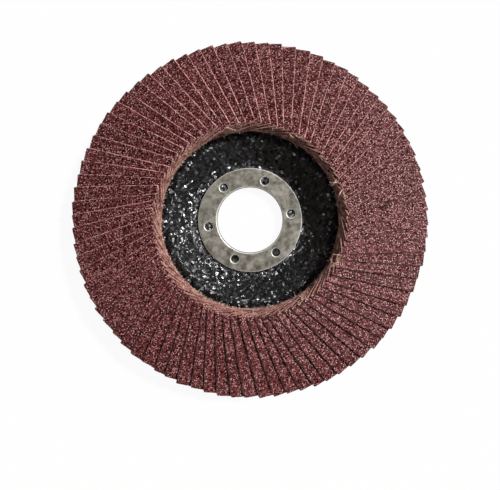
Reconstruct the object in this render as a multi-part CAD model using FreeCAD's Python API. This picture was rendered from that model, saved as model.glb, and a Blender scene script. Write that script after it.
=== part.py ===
import FreeCAD, Part
import os
from math import asin, cos, degrees, radians, sin, sqrt
from FreeCAD import Rotation, Vector

# Flap disc, flap side up, resting on the rear face of its hub. All sizes in millimetres and degrees.

# Whole disc
disc_diameter = 115.0
bore_diameter = 22.23
seat_clearance = 0.03        # play between pieces that seat on each other

# Abrasive flaps: rectangles of coated cloth, bent a little as they lie on one another
flap_count = 80
flaps_per_node = 2
flap_thickness = 0.7
flap_width = 17.5            # across the disc's turn, from worked edge to glued root
flap_setback = 1.4           # from the top of the bowl's wall to the flap's inner end
flap_overhang = 4.0          # of the flaps beyond the backing plate's rim
swirl_radius = 10.5          # the worked edges are tangent to this circle
flap_bend_flats = 4          # flat strips that make up the bend
flap_bend_turn = 59.5        # turn of the bend's line from square across the flap

# Pose of a flap on its neighbour, against that of flat flaps stacked at this pitch
tilt_spare = 0.28            # more rise towards the worked edge, as the bend needs
rake_ratio = 0.784           # fall towards the rim
bend_ratio = 0.42

# Backing plate: moulded woven glass and resin with a sunk hub
plate_thickness = 2.6
hub_radius = 19.3            # end of the flat in the bowl
wall_top_radius = 26.8       # where the bowl's wall meets the flange
flange_height = 8.6          # flange top under the inner end of the flap roots
bowl_bevel = 1.2             # where the hub turns up into the wall
shoulder_bevel = 0.9         # where the wall turns into the flange
rim_bevel = 0.6

# Adhesive between the flange and the flap roots
glue_thickness = 0.6
glue_heel_reach = 0.3        # past the inner corners of the flap roots, towards the bowl
glue_rim_setback = 0.4       # from the plate's rim

# Steel rings pressed on both faces of the hub
front_ring_setback = 0.6     # from the bevel round the hub's flat
rear_ring_diameter = 34.0
ring_thickness = 0.8
neck_wall = 0.75
neck_fold = 0.8              # rounding where the face turns down into the neck
clinch_height = 0.45         # flared end of the neck, seated in the rear ring
clinch_spread = 0.45

# Pierced anchor holes of the front ring
anchor_count = 6
anchor_inset = 0.3           # from the middle of the ring's face towards the bore
anchor_start_angle = 8.9
anchor_hole_diameter = 3.0

up = Vector(0, 0, 1)
origin = Vector(0, 0, 0)
disc_radius = disc_diameter / 2
bore_radius = bore_diameter / 2
neck_radius = bore_radius + neck_wall
plate_radius = disc_radius - flap_overhang
hub_top = plate_thickness
front_ring_radius = hub_radius - bowl_bevel - front_ring_setback
anchor_circle_radius = (bore_radius + front_ring_radius) / 2 - anchor_inset

# Plan of a flap: its worked edge and its root lie on either side of the axis
flap_inner_reach = wall_top_radius + flap_setback
flap_outer_reach = sqrt(disc_radius ** 2 - swirl_radius ** 2)
flap_root_offset = flap_width - swirl_radius
root_start = sqrt(flap_inner_reach ** 2 + flap_root_offset ** 2)

# Flat flaps stacked at mid flap would tilt by this rise over run
flap_pitch = 360.0 / flap_count
mid_reach = (flap_inner_reach + flap_outer_reach) / 2
stack_slope = (flap_thickness + seat_clearance) / (mid_reach * radians(flap_pitch))
flap_tilt = degrees(asin((1 + tilt_spare) * stack_slope))
flap_rake = degrees(asin(rake_ratio * stack_slope))
flap_bend_radius = bend_ratio * mid_reach / stack_slope


def revolved(outline):
    """Solid of revolution about Z from a closed outline of edges in the XZ plane."""
    face = Part.Face(Part.Wire(outline))
    return face.revolve(origin, up, 360)


def section(*points):
    """Closed run of straight edges through (radius, height) points."""
    corners = [Vector(r, 0, z) for r, z in points]
    return [Part.makeLine(a, b) for a, b in zip(corners, corners[1:] + corners[:1])]


def bevelled(points, bevels):
    """Outline points with chosen corners cut back by a length along both of their sides."""
    outline = []
    for i, (r, z) in enumerate(points):
        if i not in bevels:
            outline.append((r, z))
            continue
        corner = Vector(r, 0, z)
        for other in (points[i - 1], points[(i + 1) % len(points)]):
            side = (Vector(other[0], 0, other[1]) - corner).normalize()
            cut = corner + side * bevels[i]
            outline.append((cut.x, cut.z))
    return outline


def make_flap():
    """One flap at height zero, worked edge along +X on the -Y side, root on the +Y side."""
    length = flap_outer_reach - flap_inner_reach
    centre = Vector(flap_inner_reach + length / 2, flap_width / 2 - swirl_radius, 0)
    turn = Rotation(Vector(0, 1, 0), flap_rake)
    turn = turn.multiply(Rotation(Vector(1, 0, 0), -flap_tilt))
    turn = turn.multiply(Rotation(up, -flap_bend_turn))
    bend_line = turn.multVec(Vector(0, 1, 0))
    reach = length + flap_width
    spread = (length * cos(radians(flap_bend_turn)) + flap_width * sin(radians(flap_bend_turn))) / 2
    half_angle = 1.1 * spread / flap_bend_radius     # a little past the flap's corners

    # the sheet's section square to the bend, on arcs above one centre
    def station(radius, angle):
        offset = Vector(radius * sin(angle), 0, radius * cos(angle) - flap_bend_radius)
        return centre + turn.multVec(offset) - bend_line * reach

    angles = [half_angle * (2 * i / flap_bend_flats - 1) for i in range(flap_bend_flats + 1)]
    grain_side = [station(flap_bend_radius, angle) for angle in angles]
    cloth_side = [station(flap_bend_radius - flap_thickness, angle) for angle in reversed(angles)]
    profile = Part.makePolygon(grain_side + cloth_side + grain_side[:1])
    sheet = Part.Face(profile).extrude(bend_line * 2 * reach)
    corner = Vector(flap_inner_reach, -swirl_radius, -flap_width)
    blank = Part.makeBox(length, flap_width, 2 * flap_width, corner)
    return blank.common(sheet)


def root_height(flap, radius):
    """Lowest point of the flap's root where it crosses this radius."""
    inset = 0.001
    y = flap_root_offset - inset
    x = sqrt(radius ** 2 - flap_root_offset ** 2)
    plumb_line = Part.makeLine(Vector(x, y, -flap_width), Vector(x, y, flap_width))
    return flap.common(plumb_line).BoundBox.ZMin


# The first flap, raised to stand on the adhesive; all the others are turned copies
flap = make_flap()
bed_start = root_start + 0.01    # just inside the corner of the root
root_fall = (root_height(flap, bed_start) - root_height(flap, plate_radius)) / (plate_radius - bed_start)
flap.translate(up * (flange_height + glue_thickness - root_height(flap, bed_start)))


def flange_top(radius):
    """Height of the flange's upper face, parallel to the flap roots."""
    return flange_height - root_fall * (radius - bed_start)


def adhesive_top(radius):
    """Height of the adhesive's upper face, just under the flap roots."""
    return root_height(flap, radius) - seat_clearance


def make_backing_plate():
    """Hub, bowl wall and flange of one thickness, with seats for the rings."""
    brow = Vector(wall_top_radius, 0, flange_top(wall_top_radius))
    wall = (brow - Vector(hub_radius, 0, hub_top)).normalize()
    fall = Vector(1, 0, -root_fall).normalize()

    # underside corners: both walls carried down by one thickness, square to each
    def below(point, line):
        return point + Vector(line.z, 0, -line.x) * plate_thickness

    foot = below(Vector(hub_radius, 0, hub_top), wall)
    foot = foot - wall * (foot.z / wall.z)
    under = below(brow, fall)
    lift = (under - foot).cross(fall).y / wall.cross(fall).y
    knee = foot + wall * lift
    rim_top = flange_top(plate_radius)
    rim_under = rim_top - plate_thickness / fall.x

    plate_bore = neck_radius + seat_clearance
    corners = [(plate_bore, 0), (foot.x, 0), (knee.x, knee.z), (plate_radius, rim_under),
               (plate_radius, rim_top), (brow.x, brow.z), (hub_radius, hub_top), (plate_bore, hub_top)]
    bevels = {1: rim_bevel, 3: rim_bevel, 5: shoulder_bevel, 6: bowl_bevel}
    plate = revolved(section(*bevelled(corners, bevels)))

    rear_seat = Part.makeCylinder(rear_ring_diameter / 2 + seat_clearance, ring_thickness)
    plate = plate.cut(rear_seat)
    return plate


def make_front_ring():
    """Pressed ring: flat face, neck down through the bore, six pierced holes."""
    face = hub_top + ring_thickness
    corners = [(bore_radius, face), (bore_radius, 0), (neck_radius + clinch_spread, 0),
               (neck_radius, clinch_height), (neck_radius, hub_top),
               (front_ring_radius, hub_top), (front_ring_radius, face)]
    ring = revolved(section(*bevelled(corners, {0: neck_fold})))

    first = Vector(anchor_circle_radius, 0, hub_top)
    for i in range(anchor_count):
        place = Rotation(up, anchor_start_angle + 360.0 * i / anchor_count).multVec(first)
        hole = Part.makeCylinder(anchor_hole_diameter / 2, ring_thickness, place)
        ring = ring.cut(hole)
    return ring


def make_rear_ring():
    """Flat ring let into the plate's rear face, its bore flared for the clinched neck."""
    inner = neck_radius + seat_clearance
    flare = clinch_spread
    return revolved(section(
        (inner + flare, 0), (rear_ring_diameter / 2, 0), (rear_ring_diameter / 2, ring_thickness),
        (inner, ring_thickness), (inner, clinch_height)))


def make_adhesive():
    """Bed of resin between the flange and the flap roots, one facet for each group of flaps."""
    heel = bed_start - glue_heel_reach
    rim = plate_radius - glue_rim_setback
    corners = [(heel, flange_top(heel) + seat_clearance), (bed_start, adhesive_top(bed_start)),
               (rim, adhesive_top(rim)), (rim, flange_top(rim) + seat_clearance)]
    facet_count = flap_count // flaps_per_node
    step = 360.0 / facet_count
    rows = []
    for i in range(facet_count + 1):
        turn = Rotation(up, step * i)
        rows.append([turn.multVec(Vector(r, 0, z)) for r, z in corners])
    facets = []
    for here, there in zip(rows, rows[1:]):
        for i in range(len(corners)):
            quad = [here[i - 1], here[i], there[i], there[i - 1], here[i - 1]]
            facets.append(Part.Face(Part.makePolygon(quad)))
    return Part.Solid(Part.Shell(facets))


os.makedirs("parts", exist_ok=True)
make_backing_plate().exportStep("parts/backing_plate.step")
make_front_ring().exportStep("parts/front_ring.step")
make_rear_ring().exportStep("parts/rear_ring.step")
make_adhesive().exportStep("parts/adhesive_bed.step")

for group in range(flap_count // flaps_per_node):
    flaps = []
    for i in range(flaps_per_node):
        one = flap.copy()
        one.rotate(origin, up, flap_pitch * (group * flaps_per_node + i))
        flaps.append(one)
    Part.makeCompound(flaps).exportStep("parts/flap_pair_%02d.step" % (group + 1))

print("flaps tilt %.1f and rake %.1f degrees, disc height %.2f" % (flap_tilt, flap_rake, flap.BoundBox.ZMax))
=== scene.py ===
import math
import random

import bmesh
import bpy
import numpy as np
from mathutils import Matrix, Vector, noise
from mathutils.bvhtree import BVHTree


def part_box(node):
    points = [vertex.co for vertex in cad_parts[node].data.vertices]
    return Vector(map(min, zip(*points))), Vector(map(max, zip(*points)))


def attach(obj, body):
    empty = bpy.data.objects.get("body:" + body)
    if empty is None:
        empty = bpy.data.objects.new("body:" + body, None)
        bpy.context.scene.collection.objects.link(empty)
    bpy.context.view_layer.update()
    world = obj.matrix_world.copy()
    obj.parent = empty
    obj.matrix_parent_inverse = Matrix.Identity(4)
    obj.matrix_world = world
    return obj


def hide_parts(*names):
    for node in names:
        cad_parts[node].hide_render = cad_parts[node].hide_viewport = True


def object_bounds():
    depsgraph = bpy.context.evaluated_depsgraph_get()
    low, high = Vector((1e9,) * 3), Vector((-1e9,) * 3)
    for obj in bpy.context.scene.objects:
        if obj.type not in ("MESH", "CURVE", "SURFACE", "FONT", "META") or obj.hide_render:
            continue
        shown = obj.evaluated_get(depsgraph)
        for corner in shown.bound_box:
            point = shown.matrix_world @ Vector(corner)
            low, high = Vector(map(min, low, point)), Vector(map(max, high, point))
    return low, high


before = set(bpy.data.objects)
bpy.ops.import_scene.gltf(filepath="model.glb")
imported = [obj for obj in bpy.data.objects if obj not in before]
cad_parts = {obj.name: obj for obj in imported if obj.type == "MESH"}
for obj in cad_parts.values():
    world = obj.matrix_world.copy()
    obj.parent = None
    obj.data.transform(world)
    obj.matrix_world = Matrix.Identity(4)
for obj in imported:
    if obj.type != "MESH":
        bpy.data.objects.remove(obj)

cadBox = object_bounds()
discRadius = (cadBox[1].x - cadBox[0].x) / 2
mm = 0.001
print("frame loaded, disc radius", round(discRadius / mm, 2), "mm")


# small helpers for meshes

def meshObject(name, verts, faces, materials, faceSlots=None, sharp=40.0):
    mesh = bpy.data.meshes.new(name)
    mesh.from_pydata(np.asarray(verts).tolist(), [], [list(f) for f in faces])
    for material in materials:
        mesh.materials.append(material)
    if faceSlots is not None:
        mesh.polygons.foreach_set("material_index", faceSlots)
    mesh.shade_smooth()
    mesh.set_sharp_from_angle(angle=math.radians(sharp))
    mesh.validate()
    made = bpy.data.objects.new(name, mesh)
    bpy.context.scene.collection.objects.link(made)
    return made


def seat(piece, slotName, *nodes):
    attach(piece, "root")
    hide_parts(*nodes)
    return piece


def gridFaces(rows, columns, start=0, flip=False, closed=False):
    # quads of a grid whose vertex number is start + row * columns + column
    faces = []
    for r in range(rows - 1):
        for c in range(columns if closed else columns - 1):
            a = start + r * columns + c
            b = start + r * columns + (c + 1) % columns
            quad = (a, b, b + columns, a + columns)
            faces.append(quad[::-1] if flip else quad)
    return faces


def closingFaces(rows, columns, flip=False):
    # quads from the last row of a closed grid back to its first
    last = (rows - 1) * columns
    faces = [(last + c, last + (c + 1) % columns, (c + 1) % columns, c) for c in range(columns)]
    return [quad[::-1] for quad in faces] if flip else faces


def turned(points, angle):
    # points turned about the disc's axis
    c, s = math.cos(angle), math.sin(angle)
    out = points.copy()
    out[..., 0] = points[..., 0] * c - points[..., 1] * s
    out[..., 1] = points[..., 0] * s + points[..., 1] * c
    return out


def tube(path, radii, sides):
    # a closed thin strand along a few points
    verts, faces = [], []
    for i, point in enumerate(path):
        ahead = (path[min(i + 1, len(path) - 1)] - path[max(i - 1, 0)]).normalized()
        across = ahead.orthogonal().normalized()
        over = ahead.cross(across)
        for k in range(sides):
            a = 2 * math.pi * k / sides
            verts.append(point + (across * math.cos(a) + over * math.sin(a)) * radii[i])
    for i in range(len(path) - 1):
        for k in range(sides):
            a, b = i * sides + k, i * sides + (k + 1) % sides
            faces.append((a, b, b + sides, a + sides))
    faces.append(tuple(reversed(range(sides))))
    faces.append(tuple(range(len(verts) - sides, len(verts))))
    return verts, faces


def softNoise(x, y, size, seed=0.0):
    # smooth noise in -1..1 at each of some points, size is one lump
    flat = [noise.noise((a / size, b / size, seed)) for a, b in zip(np.ravel(x), np.ravel(y))]
    return np.array(flat).reshape(np.shape(x))


def profileFrom(node, above, radii):
    # heights of a CAD node's upper or lower face along one radius
    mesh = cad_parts[node].data
    tree = BVHTree.FromPolygons([v.co for v in mesh.vertices], [p.vertices for p in mesh.polygons])
    angle, side = 0.011, 1 if above else -1      # just off the edge where the CAD faces meet
    heights = []
    for r in radii:
        origin = Vector((r * math.cos(angle), r * math.sin(angle), side * 0.5))
        hit = tree.ray_cast(origin, Vector((0, 0, -side)))[0]
        heights.append(hit.z)
    return np.array(heights)


def resampled(r, z, step):
    # the same profile with points every step along its length
    length = np.concatenate([[0], np.cumsum(np.hypot(np.diff(r), np.diff(z)))])
    count = max(2, int(round(length[-1] / step)) + 1)
    at = np.linspace(0, length[-1], count)
    return np.interp(at, length, r), np.interp(at, length, z)


# small helpers for materials

def tint(red, green, blue):
    # a screen colour of 0..255 as the shader's own values
    def linear(v):
        v /= 255
        return v / 12.92 if v <= 0.04045 else ((v + 0.055) / 1.055) ** 2.4
    return (linear(red), linear(green), linear(blue), 1.0)


def newMaterial(name, roughness, metallic=0.0, specular=0.5):
    made = bpy.data.materials.new(name)
    made.use_nodes = True
    shader = made.node_tree.nodes["Principled BSDF"]
    shader.inputs["Roughness"].default_value = roughness
    shader.inputs["Metallic"].default_value = metallic
    shader.inputs["Specular IOR Level"].default_value = specular
    return made, made.node_tree, shader


def add(tree, kind, inputs=None, **settings):
    made = tree.nodes.new("ShaderNode" + kind)
    for key, value in settings.items():
        setattr(made, key, value)
    for key, value in (inputs or {}).items():
        if isinstance(value, bpy.types.NodeSocket):
            tree.links.new(value, made.inputs[key])
        else:
            made.inputs[key].default_value = value
    return made


def calc(tree, operation, a, b=0.0, c=0.0):
    return add(tree, "Math", {0: a, 1: b, 2: c}, operation=operation).outputs[0]


def mixed(tree, factor, a, b, blend="MIX"):
    return add(tree, "Mix", {0: factor, 6: a, 7: b}, data_type="RGBA", blend_type=blend).outputs[2]


def ramp(tree, factor, stops):
    made = add(tree, "ValToRGB", {0: factor})
    bar = made.color_ramp.elements
    while len(bar) < len(stops):
        bar.new(0.5)
    for element, (place, colour) in zip(bar, stops):
        element.position = place
        element.color = colour
    return made.outputs[0]


def ranged(tree, value, low, high, toLow=0.0, toHigh=1.0):
    inputs = {"Value": value, "From Min": low, "From Max": high, "To Min": toLow, "To Max": toHigh}
    return add(tree, "MapRange", inputs).outputs[0]


def grey(v):
    return (v, v, v, 1.0)


# abrasive grain on the flaps' upper face

grain = {
    "size": 0.28 * mm,
    "speckSpacing": 0.52 * mm,
    "speckSize": 0.15 * mm,
    "speckBlur": (0.8, 1.2),         # of its size, where its edge starts and ends
    "speckShare": 0.55,              # of the places where a bright speck may be
    "hollow": tint(14, 1, 3),        # resin between the grains
    "body": tint(70, 16, 18),
    "worn": tint(114, 44, 44),
    "pale": tint(162, 94, 92),
    "speck": tint(242, 196, 192),    # a fresh face of a grain, its near-white colour partly a painted glint
    "bare": tint(190, 138, 126),     # cloth where the grain has come off the inner end
    "bareWidth": 0.25 * mm,
    "bareCover": 0.7,
    "stops": (0.0, 0.5, 0.8, 1.0),   # of the tones from hollow to pale
    "patchScale": 300.0,
    "patchDrift": 0.20,              # of the tone, from place to place
    "flapDrift": 0.06,               # and from flap to flap
    "meanDrift": 0.13,               # the mean of both, taken off again
    "roughness": (0.66, 0.40),       # of dull and of pale grains
    "shine": (0.05, 0.85),           # specular level of the same
    "domed": -0.7,                   # shares of the relief: round grains, tall ones and specks
    "tall": 0.5,
    "raised": 0.15,
    "relief": 0.15 * mm,
}


def grainMaterial():
    made, tree, shader = newMaterial("abrasiveGrain", 0.55, specular=0.4)
    place = add(tree, "TexCoord").outputs["Object"]
    cell = add(tree, "TexVoronoi", {"Vector": place, "Scale": 1 / grain["size"]})
    speck = add(tree, "TexVoronoi", {"Vector": place, "Scale": 1 / grain["speckSpacing"]})
    patch = add(tree, "TexNoise", {"Vector": place, "Scale": grain["patchScale"], "Detail": 3.0})
    lay = add(tree, "Attribute", attribute_name="lay")
    parts = add(tree, "SeparateXYZ", {0: lay.outputs["Vector"]})
    inward, own = parts.outputs[0], parts.outputs[2]
    cellTone = add(tree, "SeparateColor", {0: cell.outputs["Color"]}).outputs[0]
    drift = calc(tree, "MULTIPLY", own, grain["flapDrift"])
    drift = calc(tree, "MULTIPLY_ADD", patch.outputs[0], grain["patchDrift"], drift)
    tone = calc(tree, "ADD", cellTone, calc(tree, "SUBTRACT", drift, grain["meanDrift"]))
    tones = [grain[key] for key in ("hollow", "body", "worn", "pale")]
    colour = ramp(tree, tone, list(zip(grain["stops"], tones)))
    # specks: pale grain faces whose near-white colour is partly a painted glint
    speckTone = add(tree, "SeparateColor", {0: speck.outputs["Color"]}).outputs[1]
    reach = grain["speckSize"] / grain["speckSpacing"]
    blur = [reach * share for share in grain["speckBlur"]]
    inside = ranged(tree, speck.outputs["Distance"], *blur, 1.0, 0.0)
    chosen = ranged(tree, speckTone, 1 - grain["speckShare"], 1.02 - grain["speckShare"])
    shown = calc(tree, "MULTIPLY", inside, chosen)
    colour = mixed(tree, shown, colour, grain["speck"])
    ragged = calc(tree, "MULTIPLY_ADD", cellTone, -grain["bareWidth"], inward)
    bare = ranged(tree, ragged, 0.0, grain["bareWidth"], grain["bareCover"], 0.0)
    colour = mixed(tree, bare, colour, grain["bare"])
    tree.links.new(colour, shader.inputs["Base Color"])
    tree.links.new(ranged(tree, cellTone, 0.30, 1.0, *grain["roughness"]), shader.inputs["Roughness"])
    rise = calc(tree, "MULTIPLY", cellTone, grain["tall"])
    rise = calc(tree, "MULTIPLY_ADD", cell.outputs["Distance"], grain["domed"], rise)
    rise = calc(tree, "MULTIPLY_ADD", shown, grain["raised"], rise)
    shine = ranged(tree, cellTone, 0.25, 1.0, *grain["shine"])
    tree.links.new(shine, shader.inputs["Specular IOR Level"])
    bump = add(tree, "Bump", {"Strength": 1.0, "Distance": grain["relief"], "Height": rise})
    tree.links.new(bump.outputs[0], shader.inputs["Normal"])
    return made


# woven cloth on the flaps' underside and cut edges, and its frayed yarns

cloth = {
    "pitch": 0.62 * mm,
    "pale": tint(232, 194, 172),
    "khaki": tint(176, 132, 118),
    "soot": tint(98, 50, 46),
    "straw": tint(240, 218, 190),    # loose yarns
    "chalk": tint(236, 182, 173),    # the worked edge's yarns, between specks of grain
    "dust": tint(90, 28, 27),
    "relief": 0.08 * mm,
    "patchScale": 620.0,
    "fibreScale": 2600.0,
    "fibreShare": 0.9,               # of the fibres in the tone, against the patches
    "stops": (0.38, 0.50, 0.64),     # of the three tones that a finish takes
    "shade": (0.75, 1.05),           # in the weave's hollows and on its crowns
    "fuzz": 0.6,                     # of the fibres in the relief, against the weave
    "cutDepth": 0.04 * mm,           # the worked edge's cut ends here
    "nickScale": 2000.0,             # chalk and dust change places along the cuts
    "nickStops": (0.45, 0.59),       # all dust, all chalk
    "nickPatch": 0.7,                # shares of the patches, the flap and the worked edge in that
    "nickFlap": 0.05,
    "nickCut": 0.04,
    "smearPatch": (0.42, 0.58),      # patches where the most and the least grain is carried over
    "smear": (0.9, 0.35),
}


def clothMaterial(name, tones, bright, grainCover):
    # tones name three colours, bright scales them, grainCover is the share of grain on the cuts
    made, tree, shader = newMaterial(name, 0.85, specular=0.2)
    place = add(tree, "TexCoord").outputs["Object"]
    lay = add(tree, "Attribute", attribute_name="lay")
    parts = add(tree, "SeparateXYZ", {0: lay.outputs["Vector"]})
    turn = math.pi / cloth["pitch"]
    warp = calc(tree, "SINE", calc(tree, "MULTIPLY", parts.outputs[0], turn))
    weft = calc(tree, "SINE", calc(tree, "MULTIPLY", parts.outputs[1], turn))
    weave = calc(tree, "MULTIPLY", warp, weft)
    patch = add(tree, "TexNoise", {"Vector": place, "Scale": cloth["patchScale"], "Detail": 3.0})
    fibre = add(tree, "TexNoise", {"Vector": place, "Scale": cloth["fibreScale"], "Detail": 3.0})
    tone = calc(tree, "SUBTRACT", fibre.outputs[0], 0.5)
    tone = calc(tree, "MULTIPLY_ADD", tone, cloth["fibreShare"], patch.outputs[0])
    colour = ramp(tree, tone, list(zip(cloth["stops"], [cloth[key] for key in tones])))
    cut = ranged(tree, parts.outputs[1], 0.0, cloth["cutDepth"], 1.0, 0.0)
    nick = {"Vector": place, "Scale": cloth["nickScale"], "Detail": 2.0}
    nick = add(tree, "TexNoise", nick).outputs[0]
    patchPart = calc(tree, "SUBTRACT", patch.outputs[0], 0.5)
    nick = calc(tree, "MULTIPLY_ADD", patchPart, cloth["nickPatch"], nick)
    flapPart = calc(tree, "SUBTRACT", parts.outputs[2], 0.5)
    nick = calc(tree, "MULTIPLY_ADD", flapPart, cloth["nickFlap"], nick)
    nick = calc(tree, "MULTIPLY_ADD", cut, cloth["nickCut"], nick)
    nick = ramp(tree, nick, list(zip(cloth["nickStops"], (cloth["dust"], cloth["chalk"]))))
    smear = ranged(tree, patch.outputs[0], *cloth["smearPatch"], *cloth["smear"])
    cover = calc(tree, "MULTIPLY", calc(tree, "MAXIMUM", cut, smear), grainCover)
    colour = mixed(tree, cover, colour, nick)
    shade = ranged(tree, weave, -1.0, 1.0, *[bright * share for share in cloth["shade"]])
    shade = add(tree, "CombineColor", {0: shade, 1: shade, 2: shade}).outputs[0]
    colour = mixed(tree, 1.0, colour, shade, "MULTIPLY")
    tree.links.new(colour, shader.inputs["Base Color"])
    rise = calc(tree, "MULTIPLY_ADD", fibre.outputs[0], cloth["fuzz"], weave)
    bump = add(tree, "Bump", {"Strength": 0.6, "Distance": cloth["relief"], "Height": rise})
    tree.links.new(bump.outputs[0], shader.inputs["Normal"])
    return made


# black resin over woven glass

laminate = {
    "resin": tint(5, 5, 7),
    "yarn": tint(12, 12, 15),
    "yarnStops": (0.35, 0.9),        # heights in the weave where the yarn shows first and fully
    "gloss": (0.23, 0.50),           # roughness of the wettest and the driest film
    "facet": 0.80 * mm,              # flat films of resin, each at its own slope
    "facetSlope": (0.82, 2.0),       # in the bowl and on its brow
    "brow": (26.0 * mm, 27.6 * mm),  # radii where the one passes into the other
    "backSlope": 0.25,               # of these slopes on the rear face
    "fineScale": 2600.0,
    "fineRise": 0.05 * mm,
}


def laminateMaterial():
    made, tree, shader = newMaterial("blackLaminate", 0.4, specular=1.0)
    place = add(tree, "TexCoord").outputs["Object"]
    film = add(tree, "TexVoronoi", {"Vector": place, "Scale": 1 / laminate["facet"]})
    fine = add(tree, "TexNoise", {"Vector": place, "Scale": laminate["fineScale"], "Detail": 3.0})
    crown = add(tree, "Attribute", attribute_name="crown").outputs["Fac"]
    crown = ranged(tree, crown, *laminate["yarnStops"])
    colour = mixed(tree, crown, laminate["resin"], laminate["yarn"])
    tree.links.new(colour, shader.inputs["Base Color"])
    gloss = add(tree, "SeparateColor", {0: film.outputs["Color"]}).outputs[2]
    tree.links.new(ranged(tree, gloss, 0.0, 1.0, *laminate["gloss"]), shader.inputs["Roughness"])
    slope = {0: film.outputs["Color"], 1: (0.5, 0.5, 0.5)}
    slope = add(tree, "VectorMath", slope, operation="SUBTRACT")
    off = add(tree, "VectorMath", {0: place, 1: film.outputs["Position"]}, operation="SUBTRACT")
    rise = add(tree, "VectorMath", {0: slope.outputs[0], 1: off.outputs[0]}, operation="DOT_PRODUCT")
    flat = add(tree, "VectorMath", {0: place, 1: (1, 1, 0)}, operation="MULTIPLY").outputs[0]
    radius = add(tree, "VectorMath", {0: flat}, operation="LENGTH").outputs["Value"]
    steep = ranged(tree, radius, *laminate["brow"], *laminate["facetSlope"])
    facing = add(tree, "SeparateXYZ", {0: add(tree, "NewGeometry").outputs["True Normal"]}).outputs[2]
    steep = calc(tree, "MULTIPLY", steep, ranged(tree, facing, -0.1, 0.1, laminate["backSlope"], 1.0))
    rise = calc(tree, "MULTIPLY", rise.outputs["Value"], steep)
    rise = calc(tree, "MULTIPLY_ADD", fine.outputs[0], laminate["fineRise"], rise)
    bump = add(tree, "Bump", {"Strength": 1.0, "Distance": 1.0, "Height": rise})
    tree.links.new(bump.outputs[0], shader.inputs["Normal"])
    return made


# satin plated steel of the rings

steel = {
    "light": tint(163, 159, 147),
    "dull": tint(132, 127, 117),
    "stain": tint(90, 83, 71),
    "burnishedHighlight": tint(238, 236, 230),   # edges burnished by the press tool, painted near white as their highlight
    "neck": tint(58, 50, 42),        # painted shade on the walls of the bore and of the holes
    "stops": (0.34, 0.49, 0.63),     # of stain, dull and light
    "blotchScale": 420.0,
    "fineScale": 3400.0,
    "burnishedHighlightFacing": (0.86, 0.985),   # upward part of the normal where all and none is burnished and painted as a highlight
    "shadedWallFacing": (0.15, 0.55),      # and where all and none has the walls' painted shade
    "roughness": (0.66, 0.56),       # of stained and of light steel
    "rubbedGloss": -0.10,            # added to it on the rubbed edges
    "metallic": (0.6, 0.2),          # of the face and of the neck
    "fineShare": 0.25,
    "relief": 0.10 * mm,
}


def steelMaterial():
    made, tree, shader = newMaterial("satinSteel", 0.45, metallic=0.6)
    place = add(tree, "TexCoord").outputs["Object"]
    blotch = {"Vector": place, "Scale": steel["blotchScale"], "Detail": 5.0, "Roughness": 0.62}
    blotch = add(tree, "TexNoise", blotch).outputs[0]
    fine = add(tree, "TexNoise", {"Vector": place, "Scale": steel["fineScale"], "Detail": 2.0})
    tones = [steel[key] for key in ("stain", "dull", "light")]
    facing = add(tree, "SeparateXYZ", {0: add(tree, "NewGeometry").outputs["Normal"]}).outputs[2]
    facing = calc(tree, "ABSOLUTE", facing)
    # burnished rounded edges, whose near-white colour is partly a painted highlight
    burnishedHighlight = ranged(tree, facing, *steel["burnishedHighlightFacing"], 1.0, 0.0)
    # painted shade: walls that turn sideways, in the bore and the holes, take a dark colour
    wall = ranged(tree, facing, *steel["shadedWallFacing"], 1.0, 0.0)
    colour = ramp(tree, blotch, list(zip(steel["stops"], tones)))
    colour = mixed(tree, burnishedHighlight, colour, steel["burnishedHighlight"])
    colour = mixed(tree, wall, colour, steel["neck"])
    tree.links.new(colour, shader.inputs["Base Color"])
    satin = ranged(tree, blotch, 0.3, 0.7, *steel["roughness"])
    satin = calc(tree, "MULTIPLY_ADD", burnishedHighlight, steel["rubbedGloss"], satin)
    tree.links.new(satin, shader.inputs["Roughness"])
    tree.links.new(ranged(tree, wall, 0.0, 1.0, *steel["metallic"]), shader.inputs["Metallic"])
    rise = calc(tree, "MULTIPLY_ADD", fine.outputs[0], steel["fineShare"], blotch)
    bump = add(tree, "Bump", {"Strength": 0.35, "Distance": steel["relief"], "Height": rise})
    tree.links.new(bump.outputs[0], shader.inputs["Normal"])
    return made


# cured adhesive under the flap roots

adhesive = {
    "dark": tint(84, 52, 40),
    "light": tint(168, 122, 98),
    "stops": (0.35, 0.65),
    "patchScale": 500.0,
    "relief": 0.12 * mm,
}


def resinMaterial():
    made, tree, shader = newMaterial("amberResin", 0.32, specular=0.5)
    place = add(tree, "TexCoord").outputs["Object"]
    patch = {"Vector": place, "Scale": adhesive["patchScale"], "Detail": 4.0}
    patch = add(tree, "TexNoise", patch).outputs[0]
    tones = (adhesive["dark"], adhesive["light"])
    colour = ramp(tree, patch, list(zip(adhesive["stops"], tones)))
    tree.links.new(colour, shader.inputs["Base Color"])
    bump = add(tree, "Bump", {"Strength": 0.5, "Distance": adhesive["relief"], "Height": patch})
    tree.links.new(bump.outputs[0], shader.inputs["Normal"])
    return made


grainFinish = grainMaterial()
clothFinish = clothMaterial("wovenCloth", ("soot", "khaki", "pale"), 1.0, 1.0)
frayFinish = clothMaterial("frayedYarn", ("khaki", "pale", "straw"), 1.1, 0.0)
laminateFinish = laminateMaterial()
steelFinish = steelMaterial()
resinFinish = resinMaterial()
print("materials made")


# the 80 flaps: bent sheets that lie on one another, in pairs as the frame has them

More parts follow.
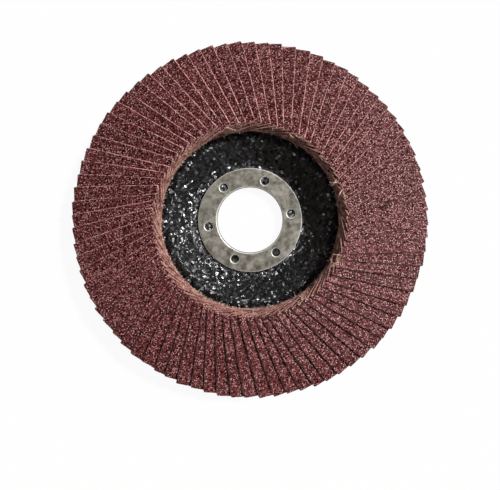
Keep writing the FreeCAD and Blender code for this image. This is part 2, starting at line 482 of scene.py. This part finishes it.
flapShape = {
    "count": 80,
    "perNode": 2,
    "thickness": 0.7 * mm,
    "width": 17.5 * mm,
    "innerReach": 28.2 * mm,         # from the axis, along the worked edge
    "swirl": 10.5 * mm,              # the worked edges are tangent to this circle
    "clearance": 0.03 * mm,
    "tiltSpare": 0.28,               # more rise towards the worked edge than in a stack of flat flaps
    "rakeRatio": 0.784,              # fall towards the rim, against that stack's slope
    "bendRatio": 0.42,
    "bendTurn": 59.5,                # degrees from square across the flap to the bend's line
    "columns": 72,
    "rows": (0, 0.14, 0.32, 0.6, 0.95, 1.35, 1.8, 2.3, 2.9, 3.5, 4.2, 5.0, 6.5, 9.0, 12.0, 15.0, 17.5),
    "edgeTrim": 0.28 * mm,           # how unevenly the strips are cut
    "edgeSkew": (-0.6, 0.6),         # share of that which one end has more than the middle
    "startTrim": 0.20 * mm,
    "endTrim": 0.50 * mm,
    "endSlant": (0.01, 0.10),        # the outer ends run a little with the rim
    "rimInset": 0.1 * mm,            # and stay this far inside it
    "cornerWear": 0.6 * mm,          # rounding of the worked edge's two corners
    "outerWear": (0.35, 1.0),        # shares of that at the outer and at the inner corner
    "innerWear": (0.6, 1.3),
    "edgeWaves": ((0.06 * mm, 9, 3.1), (0.05 * mm, 42, 5.4)),    # depth, waves along the edge, seed
    "ragged": 0.06 * mm,             # unevenness of the two ends
    "lean": 0.10 * mm,               # the cut edge shows this much more than a square cut
    "freeWidth": 3.2 * mm,           # strip by the worked edge that its trim and curl reach
    "curl": 0.20 * mm,               # lift of the free worked edge
    "curlSpread": 0.35,              # of the edge's length
    "worn": (0.09 * mm, 0.03 * mm),  # grain worn off the first two rows
    "grit": 0.022 * mm,
    "fuzz": 0.03 * mm,               # unevenness of the cloth's cut edges
    "yarns": 16,                     # short broken yarns at the inner end
    "yarnRadius": 0.09 * mm,
    "yarnReach": 0.24 * mm,          # mean and most past the end
    "yarnLongest": 0.9 * mm,
    "yarnFoot": 0.25 * mm,           # a yarn starts this far inside the end
    "yarnRoot": 0.3 * mm,            # and is this much longer than its reach
    "yarnDepth": (0.25 * mm, 0.60 * mm),     # under the grain
    "yarnAim": (0.25, 0.15),         # scatter of its first direction, sideways and down
    "yarnSway": (0.6, 0.35),         # and of its bending
    "yarnTaper": 0.5,
    "yarnSides": 5,
    "loose": ((8, 3, 1.9), (9, 2, 2.4), (13, 2, 1.6), (18, 2, 2.6), (27, 1, 3.6), (33, 1, 1.8),
              (50, 2, 1.5), (58, 1, 1.7), (71, 3, 1.9), (72, 2, 1.5), (78, 4, 2.6),
              (79, 3, 2.2)),         # longer loose yarns: flap, count, length in mm
    "looseRadius": 0.16 * mm,
    "looseDepth": 0.05 * mm,
    "looseAcross": (0.4, 3.0),       # where they grow, in mm from the worked edge
    "looseDrift": (0.2, 1.2),        # how far they turn towards it
}

pitchAngle = 2 * math.pi / flapShape["count"]
outerReach = math.sqrt(discRadius ** 2 - flapShape["swirl"] ** 2)
midReach = (flapShape["innerReach"] + outerReach) / 2
stackSlope = (flapShape["thickness"] + flapShape["clearance"]) / (midReach * pitchAngle)
flapTilt = math.asin((1 + flapShape["tiltSpare"]) * stackSlope)
flapRake = math.asin(flapShape["rakeRatio"] * stackSlope)
bendRadius = flapShape["bendRatio"] * midReach / stackSlope


def axisTurn(axis, angle):
    return np.array(Matrix.Rotation(angle, 3, axis))


flapTurn = axisTurn("Y", flapRake) @ axisTurn("X", -flapTilt)
flapTurn = flapTurn @ axisTurn("Z", -math.radians(flapShape["bendTurn"]))
flapCentre = np.array([midReach, flapShape["width"] / 2 - flapShape["swirl"], 0.0])


def flapSurface(x, y):
    # height and normal of the bent sheet's upper face over each point
    flat = np.stack([x - flapCentre[0], y - flapCentre[1], np.zeros_like(x)], -1) @ flapTurn
    rise = flapTurn[2]               # the upward direction in the sheet's own axes
    a = rise[0] ** 2 + rise[2] ** 2
    b = flat[..., 0] * rise[0] + (flat[..., 2] + bendRadius) * rise[2]
    c = flat[..., 0] ** 2 + (flat[..., 2] + bendRadius) ** 2 - bendRadius ** 2
    z = (-b + np.sqrt(b * b - a * c)) / a
    own = flat + z[..., None] * rise
    across = np.stack([own[..., 0], np.zeros_like(x), own[..., 2] + bendRadius], -1) / bendRadius
    return z, across @ flapTurn.T


highCorner = flapSurface(np.array([flapShape["innerReach"]]), np.array([-flapShape["swirl"]]))[0][0]
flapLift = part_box("flap_pair_01")[1].z - highCorner


def yarnEnds(index, rng):
    # place along the inner end, length, radius, steps and drift of each yarn that sticks out
    ends = []
    for i in range(flapShape["yarns"]):
        across = (i + rng.uniform(0.1, 0.9)) / flapShape["yarns"] * flapShape["width"]
        reach = min(rng.expovariate(1 / flapShape["yarnReach"]), flapShape["yarnLongest"])
        ends.append((across, reach, flapShape["yarnRadius"], 3, 0.0))
    for flap, count, length in flapShape["loose"]:
        for _ in range(count if flap == index else 0):
            across = rng.uniform(*flapShape["looseAcross"]) * mm
            reach = length * rng.uniform(0.7, 1.1) * mm
            drift = rng.uniform(*flapShape["looseDrift"])
            ends.append((across, reach, flapShape["looseRadius"], 8, drift))
    return ends


def cornerRound(rows, wear):
    # how far the end draws back at each row near a worn corner
    cut = np.clip(1 - rows / wear, 0, 1)
    return wear * (1 - np.sqrt(1 - 0.8 * cut ** 2))


def makeFlap(index, seed):
    # vertices, faces, material slots and lay coordinates of one flap
    rng = random.Random(seed)
    rows = np.array(flapShape["rows"]) * mm
    columns = np.linspace(0, 1, flapShape["columns"] + 1)
    start = flapShape["innerReach"] + rng.uniform(-1.0, 1.0) * flapShape["startTrim"]
    end = outerReach - rng.uniform(0, 1.0) * flapShape["endTrim"]
    trim = rng.uniform(-1, 1) * flapShape["edgeTrim"]
    skew = rng.uniform(*flapShape["edgeSkew"]) * flapShape["edgeTrim"]
    curl = rng.uniform(0.0, 1.0) * flapShape["curl"]
    curlPlace = rng.uniform(0.1, 0.9)
    phase = rng.uniform(0, 50)
    slanted = end + rng.uniform(*flapShape["endSlant"]) * rows
    rimReach = discRadius - flapShape["rimInset"]
    ends = np.minimum(slanted, np.sqrt(rimReach ** 2 - (rows - flapShape["swirl"]) ** 2))
    outerWear = rng.uniform(*flapShape["outerWear"]) * flapShape["cornerWear"]
    innerWear = rng.uniform(*flapShape["innerWear"]) * flapShape["cornerWear"]
    ends = ends - cornerRound(rows, outerWear)
    starts = start + cornerRound(rows, innerWear)
    x = starts[:, None] + (ends - starts)[:, None] * columns
    edge = trim + skew * (2 * columns - 1)
    for depth, waves, place in flapShape["edgeWaves"]:
        edge = edge + depth * softNoise(columns * waves, 0 * columns + phase, 1.0, place)
    near = np.clip(1 - rows / flapShape["freeWidth"], 0, 1) ** 2
    y = -flapShape["swirl"] + rows[:, None] + edge * near[:, None]
    ragged = flapShape["ragged"] * softNoise(rows / mm * 3, 0 * rows + phase, 1.0, 7.7)
    x[:, 0] += ragged
    x[:, -1] -= np.abs(ragged)
    z, normal = flapSurface(x, y)
    z = z + flapLift
    swell = 0.4 + 0.6 * np.exp(-((columns - curlPlace) / flapShape["curlSpread"]) ** 2)
    lifted = curl * near[:, None] * swell
    worn = np.zeros_like(z)
    worn[0], worn[1] = flapShape["worn"]
    gritty = np.array([[rng.uniform(-1, 1) for _ in columns] for _ in rows]) * flapShape["grit"]
    base = np.stack([x, y, z + lifted], -1)
    top = base + normal * (gritty - worn)[..., None]
    top[0, :, 1] += flapShape["lean"]
    under = base - normal * (flapShape["thickness"] + 0.3 * gritty)[..., None]
    under[0, :, 1] += np.array([rng.uniform(-1, 1) for _ in columns]) * flapShape["fuzz"]
    under[:, 0, 0] += np.array([rng.uniform(-1, 1) for _ in rows]) * flapShape["fuzz"]
    nr, nc = z.shape
    verts = [top.reshape(-1, 3), under.reshape(-1, 3)]
    faces = gridFaces(nr, nc) + gridFaces(nr, nc, nr * nc, flip=True)
    slots = [0] * ((nr - 1) * (nc - 1)) + [1] * ((nr - 1) * (nc - 1))
    rim = [c for c in range(nc)] + [r * nc + nc - 1 for r in range(1, nr)]
    rim += [(nr - 1) * nc + c for c in range(nc - 2, -1, -1)] + [r * nc for r in range(nr - 2, 0, -1)]
    for a, b in zip(rim, rim[1:] + rim[:1]):
        faces.append((b, a, a + nr * nc, b + nr * nc))
        slots.append(1)
    lay = np.stack([x - start, rows[:, None] + 0 * x, 0 * x + rng.random()], -1).reshape(-1, 3)
    lays = [lay, lay]
    aimSide, aimDown = flapShape["yarnAim"]
    swaySide, swayDown = flapShape["yarnSway"]
    for across, reach, radius, steps, drift in yarnEnds(index, rng):
        foot = np.array([start + flapShape["yarnFoot"], -flapShape["swirl"] + across])
        zFoot, n = flapSurface(foot[:1], foot[1:])
        depth = flapShape["looseDepth"] if drift else rng.uniform(*flapShape["yarnDepth"])
        point = Vector((foot[0], foot[1], zFoot[0] + flapLift)) - Vector(n[0]) * depth
        fall = 0 if drift else -1    # the long ones run level and the short ones droop
        heading = Vector((-1, rng.gauss(0, aimSide) - drift, fall * abs(rng.gauss(0.1, aimDown))))
        sway = Vector((0, rng.gauss(0, swaySide), fall * abs(rng.gauss(0.1, swayDown))))
        path = []
        for s in range(steps + 1):
            path.append(point.copy())
            heading = (heading + sway * 0.3).normalized()
            point = point + heading * (reach + flapShape["yarnRoot"]) / steps
        radii = [radius * (1 - flapShape["yarnTaper"] * s / steps) for s in range(steps + 1)]
        v, f = tube(path, radii, flapShape["yarnSides"])
        offset = sum(len(block) for block in verts)
        verts.append(np.array(v))
        faces += [tuple(k + offset for k in face) for face in f]
        slots += [2] * len(f)
        lays.append(np.array([[s * 0.2 * mm, across, 0.5] for s in range(len(v))]))
    return turned(np.concatenate(verts), pitchAngle * index), faces, slots, np.concatenate(lays)


def makeFlapPair(group):
    verts, faces, slots, lays, offset = [], [], [], [], 0
    for i in range(flapShape["perNode"]):
        index = group * flapShape["perNode"] + i
        v, f, s, l = makeFlap(index, 100 + index)
        faces += [tuple(k + offset for k in face) for face in f]
        verts.append(v)
        slots += s
        lays.append(l)
        offset += len(v)
    made = meshObject("flaps_%02d" % (group + 1), np.concatenate(verts), faces,
                      [grainFinish, clothFinish, frayFinish], slots)
    layer = made.data.attributes.new("lay", "FLOAT_VECTOR", "POINT")
    layer.data.foreach_set("vector", np.concatenate(lays).astype(np.float32).ravel())
    return seat(made, "abrasive_cloth", "flap_pair_%02d" % (group + 1))


for group in range(flapShape["count"] // flapShape["perNode"]):
    makeFlapPair(group)
print("flaps made")


# backing plate with its woven face, turned from the frame's own profile

plateShape = {
    "neck": 11.9 * mm,               # the plate's bore, round the front ring's neck
    "play": 0.02 * mm,               # round the neck and under the front ring
    "shoulder": 29.2 * mm,           # past this radius the adhesive covers the plate
    "pitch": 1.7 * mm,               # of the woven glass
    "turn": math.radians(38),
    "wander": 0.25 * mm,             # of the yarns off their straight lines
    "wanderSize": 5 * mm,
    "relief": 0.16 * mm,
    "wovenInset": 0.1 * mm,          # the weave runs this far under the front ring
    "wovenGap": 0.2 * mm,            # and starts this far outside the rear ring
    "lump": 0.78 * mm,               # lumps of resin on the yarns
    "lumpRise": 0.12 * mm,
    "bead": 0.30 * mm,               # resin squeezed out round the front ring
    "beadOffset": 0.15 * mm,
    "beadWidth": 0.35 * mm,
    "beadLump": 1.6 * mm,
    "beadShares": (0.55, 1.1, 1.3),  # mean, swing and most of the bead's rise
    "segments": 660,
    "sampleStep": 0.1 * mm,
    "bowlStep": 0.20 * mm,
    "backStep": 0.75 * mm,
    "hiddenInset": 0.3 * mm,         # the fine rows start this far under the front ring
    "hiddenSteps": (1.0 * mm, 4.0 * mm, 1.5 * mm),   # under front ring, adhesive and rear ring
    "rimRows": 4,
}

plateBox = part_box("backing_plate")
plateRadius = plateBox[1].x
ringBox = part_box("front_ring")
ringRadius = ringBox[1].x
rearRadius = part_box("rear_ring")[1].x


def weaveHeight(x, y):
    # plain weave, 0 in the hollows and 1 on the yarns' crowns
    x = x + plateShape["wander"] * softNoise(x, y, plateShape["wanderSize"], 1.0)
    y = y + plateShape["wander"] * softNoise(x, y, plateShape["wanderSize"], 9.0)
    c, s = math.cos(plateShape["turn"]), math.sin(plateShape["turn"])
    a = (x * c + y * s) / plateShape["pitch"]
    b = (y * c - x * s) / plateShape["pitch"]
    i, j = np.floor(a), np.floor(b)
    warp = np.sqrt(1 - 0.9 * (2 * (a - i) - 1) ** 2) * (0.5 + 0.5 * np.cos(np.pi * (b - 0.5 + i)))
    weft = np.sqrt(1 - 0.9 * (2 * (b - j) - 1) ** 2) * (0.5 - 0.5 * np.cos(np.pi * (a - 0.5 + j)))
    return np.maximum(warp, weft)


def makePlate():
    r = np.arange(plateShape["neck"] + plateShape["play"], plateRadius, plateShape["sampleStep"])
    top = profileFrom("backing_plate", True, r)
    under = profileFrom("backing_plate", False, r)
    hidden, shoulder = ringRadius - plateShape["hiddenInset"], plateShape["shoulder"]
    inner, bowl, outer = r < hidden, (r >= hidden) & (r <= shoulder), r > shoulder
    behind = r < rearRadius
    innerStep, outerStep, behindStep = plateShape["hiddenSteps"]
    rim = np.linspace(top[-1], under[-1], plateShape["rimRows"] + 2)[1:-1]
    runs = [
        resampled(r[inner], top[inner], innerStep),
        resampled(r[bowl], top[bowl], plateShape["bowlStep"]),
        resampled(r[outer], top[outer], outerStep),
        (np.full(len(rim), plateRadius), rim),
        resampled(r[~behind][::-1], under[~behind][::-1], plateShape["backStep"]),
        resampled(r[behind][::-1], under[behind][::-1], behindStep),
    ]
    pr = np.concatenate([run[0] for run in runs])
    pz = np.concatenate([run[1] for run in runs])
    upper = np.concatenate([np.full(len(run[0]), k < 3) for k, run in enumerate(runs)])
    count = plateShape["segments"]
    angles = np.arange(count) * 2 * math.pi / count
    x, y = pr[:, None] * np.cos(angles), pr[:, None] * np.sin(angles)
    crown = weaveHeight(x, y)
    wovenStart = ringRadius - plateShape["wovenInset"]
    inBowl = (pr > wovenStart) & (pr < shoulder)
    woven = np.where(upper, inBowl, pr > rearRadius + plateShape["wovenGap"])
    fade = np.convolve(np.pad(woven.astype(float), 1, "edge"), [0.25, 0.5, 0.25], "valid")
    lumps = softNoise(x, y, plateShape["lump"], 4.0)
    level = np.where(upper, 0.5, 1.0)[:, None]       # the rear weave only goes inwards
    lift = (crown - level) * plateShape["relief"]
    lift = lift + plateShape["lumpRise"] * (lumps - 2 * (level - 0.5))
    lift = lift * fade[:, None]
    away = (pr - ringRadius - plateShape["beadOffset"]) / plateShape["beadWidth"]
    squeeze = np.exp(-away ** 2) * upper
    mean, swing, most = plateShape["beadShares"]
    bead = mean + swing * softNoise(x, y, plateShape["beadLump"], 6.0)
    bead = plateShape["bead"] * np.clip(bead, 0, most)
    lift = lift + squeeze[:, None] * bead
    alongR, alongZ = np.gradient(pr), np.gradient(pz)
    size = np.hypot(alongR, alongZ) + 1e-12
    radial = pr[:, None] - lift * (alongZ / size)[:, None]
    z = pz[:, None] + lift * (alongR / size)[:, None]
    z[upper & (pr < wovenStart)] -= plateShape["play"]
    verts = np.stack([radial * np.cos(angles), radial * np.sin(angles), np.maximum(z, 0)], -1)
    faces = gridFaces(len(pr), count, flip=True, closed=True)
    faces += closingFaces(len(pr), count, flip=True)     # wall of the bore
    made = meshObject("plateLaminate", verts.reshape(-1, 3), faces, [laminateFinish])
    layer = made.data.attributes.new("crown", "FLOAT", "POINT")
    layer.data.foreach_set("value", (crown * fade[:, None]).astype(np.float32).ravel())
    return seat(made, "backing_laminate", "backing_plate")


makePlate()
print("plate made")


# adhesive bed with its squeezed-out edges

bedShape = {
    "heelSetback": 0.26 * mm,        # from the inner corners of the flap roots, towards the bowl
    "heelBulge": 0.1 * mm,           # its side stands this far past its upper face
    "rimSetback": 0.05 * mm,
    "rimBulge": 0.25 * mm,           # the same at the rim
    "play": 0.02 * mm,               # under the flap roots
    "lump": 3 * mm,                  # the two sides are lumpy
    "lumpRise": 0.16 * mm,
    "rows": 9,
    "sideRows": 3,
    "segments": 480,
}


def makeResinBed():
    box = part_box("adhesive_bed")
    rows, sideRows, count = bedShape["rows"], bedShape["sideRows"], bedShape["segments"]
    rootCorner = math.hypot(flapShape["innerReach"], flapShape["width"] - flapShape["swirl"])
    heel, rim = rootCorner - bedShape["heelSetback"], box[1].x - bedShape["rimSetback"]
    r = np.linspace(heel, rim - bedShape["rimBulge"], rows)
    top = profileFrom("adhesive_bed", True, r) - bedShape["play"]
    under = profileFrom("adhesive_bed", False, r)
    heelSide, rimSide = np.full(sideRows, heel - bedShape["heelBulge"]), np.full(sideRows, rim)
    pr = np.concatenate([r, rimSide, r[::-1], heelSide])
    edge = np.linspace(0, 1, sideRows + 2)[1:-1]
    rimFace = top[-1] + (under[-1] - top[-1]) * edge
    heelFace = under[0] + (top[0] - under[0]) * edge
    pz = np.concatenate([top, rimFace, under[::-1], heelFace])
    loose = np.tile([0.0] * rows + [1.0] * sideRows, 2)
    angles = np.arange(count) * 2 * math.pi / count
    x, y = pr[:, None] * np.cos(angles), pr[:, None] * np.sin(angles)
    lump = bedShape["lumpRise"] * softNoise(x, y, bedShape["lump"], 2.0) * loose[:, None]
    verts = np.stack([x + lump * np.cos(angles), y + lump * np.sin(angles), pz[:, None] + 0 * x], -1)
    faces = gridFaces(len(pr), count, flip=True, closed=True)
    faces += closingFaces(len(pr), count, flip=True)
    made = meshObject("resinBed", verts.reshape(-1, 3), faces, [resinFinish])
    return seat(made, "bonding_resin", "adhesive_bed")


makeResinBed()
print("adhesive made")


# steel rings

ringShape = {
    "bore": 11.115 * mm,
    "neckWall": 0.75 * mm,
    "thickness": 0.8 * mm,
    "fold": (0.50 * mm, 0.45 * mm),  # rounding of the face into the neck, radial and deep
    "edge": (0.55 * mm, 0.30 * mm),  # rounding of the outer edge
    "anchors": 6,
    "anchorStart": math.radians(8.9),
    "anchorInset": 0.3 * mm,
    "anchorRadius": 1.36 * mm,
    "sink": (0.50 * mm, 0.34 * mm),  # the face is drawn down round each hole
    "sinkRows": (0, 0.04, 0.13, 0.28, 0.48, 0.74, 1.0, 1.5),     # in widths of the drawn-down rim
    "holeWall": ((0.55, 0.02 * mm), (0.75, 0.06 * mm), (0.95, 0.10 * mm)),   # depth share, narrowing
    "dish": 0.03 * mm,
    "dishSize": 4 * mm,
    "neckRows": (1.9 * mm, 1.3 * mm, 0.8 * mm, 0.42 * mm),
    "lip": 0.32 * mm,                # rounding of the neck's lower end
    "lipHeight": 0.34 * mm,          # of that rounding's centre
    "clinch": ((0.25 * mm, 0.0), (0.42 * mm, 0.03 * mm), (0.0, 0.46 * mm)),  # past the neck, height
    "rearPlay": 0.03 * mm,
    "rearFlare": (0.45 * mm, 0.5 * mm),      # of the rear ring's bore, wide and deep
    "rearEdge": 0.15 * mm,
    "arcSteps": 24,
    "sideSteps": 10,
    "faceRows": 5,
    "rearSegments": 180,
}


def lathe(profile, angles):
    rows = [[Vector((r * math.cos(a), r * math.sin(a), z)) for a in angles] for r, z in profile]
    verts = [v for row in rows for v in row]
    return verts, gridFaces(len(profile), len(angles), closed=True)


def arc(centreR, centreZ, wide, deep, start, end, steps):
    points = []
    for i in range(steps + 1):
        a = math.radians(start + (end - start) * i / steps)
        points.append((centreR + wide * math.cos(a), centreZ + deep * math.sin(a)))
    return points


def makeFrontRing():
    face = ringBox[1].z
    seatZ = face - ringShape["thickness"]
    inner = ringShape["bore"] + ringShape["fold"][0]
    outer = ringRadius - ringShape["edge"][0]
    sinkWide, sinkDeep = ringShape["sink"]
    centre = (ringShape["bore"] + ringRadius) / 2 - ringShape["anchorInset"]
    half = math.pi / ringShape["anchors"]
    n1, n2, n3 = ringShape["arcSteps"], ringShape["sideSteps"], ringShape["faceRows"]
    loop = [(inner, -half + 2 * half * i / n1) for i in range(n1)]
    loop += [(inner + (outer - inner) * i / n2, half) for i in range(n2)]
    loop += [(outer, half - 2 * half * i / n1) for i in range(n1)]
    loop += [(outer - (outer - inner) * i / n2, -half) for i in range(n2)]
    near = [sinkWide * s for s in ringShape["sinkRows"]]
    verts, faces = [], []

    def dished(x, y):
        size = ringShape["dishSize"]
        return ringShape["dish"] * noise.noise((x / size, y / size, 0.3))

    for sector in range(ringShape["anchors"]):
        middle = ringShape["anchorStart"] + 2 * half * sector
        hole = Vector((centre * math.cos(middle), centre * math.sin(middle)))
        start = len(verts)
        rows = []
        for r, a in loop:
            rim = Vector((r * math.cos(middle + a), r * math.sin(middle + a)))
            away = (rim - hole).length - ringShape["anchorRadius"]
            heading = (rim - hole).normalized()
            spans = near + [near[-1] + (away - near[-1]) * k / n3 for k in range(1, n3 + 1)]
            upper, lower = [], []
            for s in spans:
                p = hole + heading * (ringShape["anchorRadius"] + s)
                inside = max(0.0, 1 - s / sinkWide)
                drop = sinkDeep * (1 - math.sqrt(1 - inside ** 2))
                upper.append(Vector((p.x, p.y, face - drop + dished(p.x, p.y))))
                lower.append(Vector((p.x, p.y, seatZ)))
            wall = []
            for k, shrink in ringShape["holeWall"]:
                p = hole + heading * (ringShape["anchorRadius"] - shrink)
                wall.append(Vector((p.x, p.y, face - k * ringShape["thickness"])))
            rows.append(upper[::-1] + wall + lower)
        columns = len(rows[0])
        for row in rows:
            verts += row
        for i in range(len(rows)):
            j = (i + 1) % len(rows)
            for k in range(columns - 1):
                faces.append((start + i * columns + k, start + j * columns + k,
                              start + j * columns + k + 1, start + i * columns + k + 1))

    angles = [ringShape["anchorStart"] - half + 2 * math.pi * i / (ringShape["anchors"] * n1)
              for i in range(ringShape["anchors"] * n1)]
    neck = ringShape["bore"] + ringShape["neckWall"]
    edgeWide, edgeDeep = ringShape["edge"]
    foldWide, foldDeep = ringShape["fold"]
    outside = arc(outer, face - edgeDeep, edgeWide, edgeDeep, 90, 0, 8)
    outside += [(ringRadius, seatZ + 0.1 * mm), (outer, seatZ)]
    throat = [(inner, face)] + arc(inner, face - foldDeep, foldWide, foldDeep, 90, 180, 8)[1:]
    throat += [(ringShape["bore"], z) for z in ringShape["neckRows"]]
    lip = ringShape["lip"]
    throat += arc(ringShape["bore"] + lip, ringShape["lipHeight"], lip, lip, 180, 270, 4)
    throat += [(neck + past, z) for past, z in ringShape["clinch"]]
    throat += [(neck, seatZ), (inner, seatZ)]
    for profile in (outside, throat):
        v, f4 = lathe(profile, angles)
        for p in v:
            if p.z > face - 0.001 * mm:
                p.z += dished(p.x, p.y)
        faces += [tuple(k + len(verts) for k in quad) for quad in f4]
        verts += v
    made = meshObject("frontRing", np.array([v[:] for v in verts]), faces, [steelFinish], sharp=50)
    shell = bmesh.new()
    shell.from_mesh(made.data)
    bmesh.ops.remove_doubles(shell, verts=shell.verts, dist=0.004 * mm)
    bmesh.ops.recalc_face_normals(shell, faces=shell.faces)
    shell.to_mesh(made.data)
    shell.free()
    return seat(made, "ring_steel", "front_ring")


def makeRearRing():
    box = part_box("rear_ring")
    outer, thick = box[1].x, box[1].z
    inner = ringShape["bore"] + ringShape["neckWall"] + ringShape["rearPlay"]
    flareWide, flareDeep = ringShape["rearFlare"]
    e = ringShape["rearEdge"]
    profile = [(inner + flareWide, 0.0)] + arc(outer - e, e, e, e, 270, 360, 4)
    profile += [(outer, thick), (inner, thick), (inner, flareDeep)]
    count = ringShape["rearSegments"]
    angles = [2 * math.pi * i / count for i in range(count)]
    verts, faces = lathe(profile, angles)
    faces += closingFaces(len(profile), count)
    made = meshObject("rearRing", np.array([v[:] for v in verts]), faces, [steelFinish])
    return seat(made, "ring_steel", "rear_ring")


makeFrontRing()
makeRearRing()
print("rings made")


# plain floor, light and camera

studio = {
    "ambient": 0.015,
    "lamps": {                       # strength, azimuth, elevation, spread
        "key": (3.95, 31.0, 46.0, 6.0),
        "fillRight": (0.34, 290.0, 50.0, 6.0),
        "fillLeft": (0.32, 125.0, 50.0, 6.0),
    },
    "floorShown": 0.94,
    "floorGrey": 0.82,
    "floorReach": 3.0,
    "floorDrop": 0.02 * mm,          # under the rear face
    "cameraHeight": 156.7 * mm,
    "lens": 32.88,
    "shift": -0.05,
}


def makeFloor():
    mesh = bpy.data.meshes.new("floor")
    s = studio["floorReach"]
    corners = [(-s, -s), (s, -s), (s, s), (-s, s)]
    mesh.from_pydata([(x, y, -studio["floorDrop"]) for x, y in corners], [], [(0, 1, 2, 3)])
    floor = bpy.data.objects.new("floor", mesh)
    bpy.context.scene.collection.objects.link(floor)
    made, tree, shader = newMaterial("paleFloor", 0.9, specular=0.0)
    shader.inputs["Base Color"].default_value = grey(studio["floorGrey"])
    glow = add(tree, "Emission", {"Color": grey(1.0), "Strength": 1.0})
    ray = add(tree, "LightPath")
    seen = calc(tree, "MAXIMUM", ray.outputs["Is Camera Ray"], ray.outputs["Is Glossy Ray"])
    seen = calc(tree, "MAXIMUM", seen, ray.outputs["Is Transmission Ray"])
    share = calc(tree, "MULTIPLY", seen, studio["floorShown"])
    blend = add(tree, "MixShader", {0: share, 1: shader.outputs[0], 2: glow.outputs[0]})
    tree.links.new(blend.outputs[0], tree.nodes["Material Output"].inputs["Surface"])
    mesh.materials.append(made)


def makeWorld():
    world = bpy.data.worlds.new("studio")
    bpy.context.scene.world = world
    world.use_nodes = True
    tree = world.node_tree
    ray = add(tree, "LightPath")
    strength = ranged(tree, ray.outputs["Is Camera Ray"], 0.0, 1.0, studio["ambient"], 1.0)
    back = tree.nodes["Background"]
    back.inputs["Color"].default_value = grey(1.0)
    tree.links.new(strength, back.inputs["Strength"])


def makeLamp(name, strength, azimuth, elevation, spread):
    lamp = bpy.data.lights.new(name, "SUN")
    lamp.energy = strength
    lamp.angle = math.radians(spread)
    sun = bpy.data.objects.new(name, lamp)
    a, e = math.radians(azimuth), math.radians(elevation)
    source = Vector((math.cos(a) * math.cos(e), math.sin(a) * math.cos(e), math.sin(e)))
    sun.location = source
    sun.rotation_mode = "QUATERNION"
    sun.rotation_quaternion = source.to_track_quat("Z", "Y")
    bpy.context.scene.collection.objects.link(sun)


def makeCamera():
    data = bpy.data.cameras.new("camera")
    data.lens = studio["lens"]
    data.sensor_width = 36.0
    data.shift_y = studio["shift"]
    data.clip_start = 0.005
    camera = bpy.data.objects.new("camera", data)
    camera.location = (0, 0, studio["cameraHeight"])
    bpy.context.scene.collection.objects.link(camera)
    bpy.context.scene.camera = camera


makeFloor()
makeWorld()
for name, lampSetting in studio["lamps"].items():
    makeLamp(name, *lampSetting)
makeCamera()
bpy.context.scene.view_settings.view_transform = "Standard"
print("stage made")
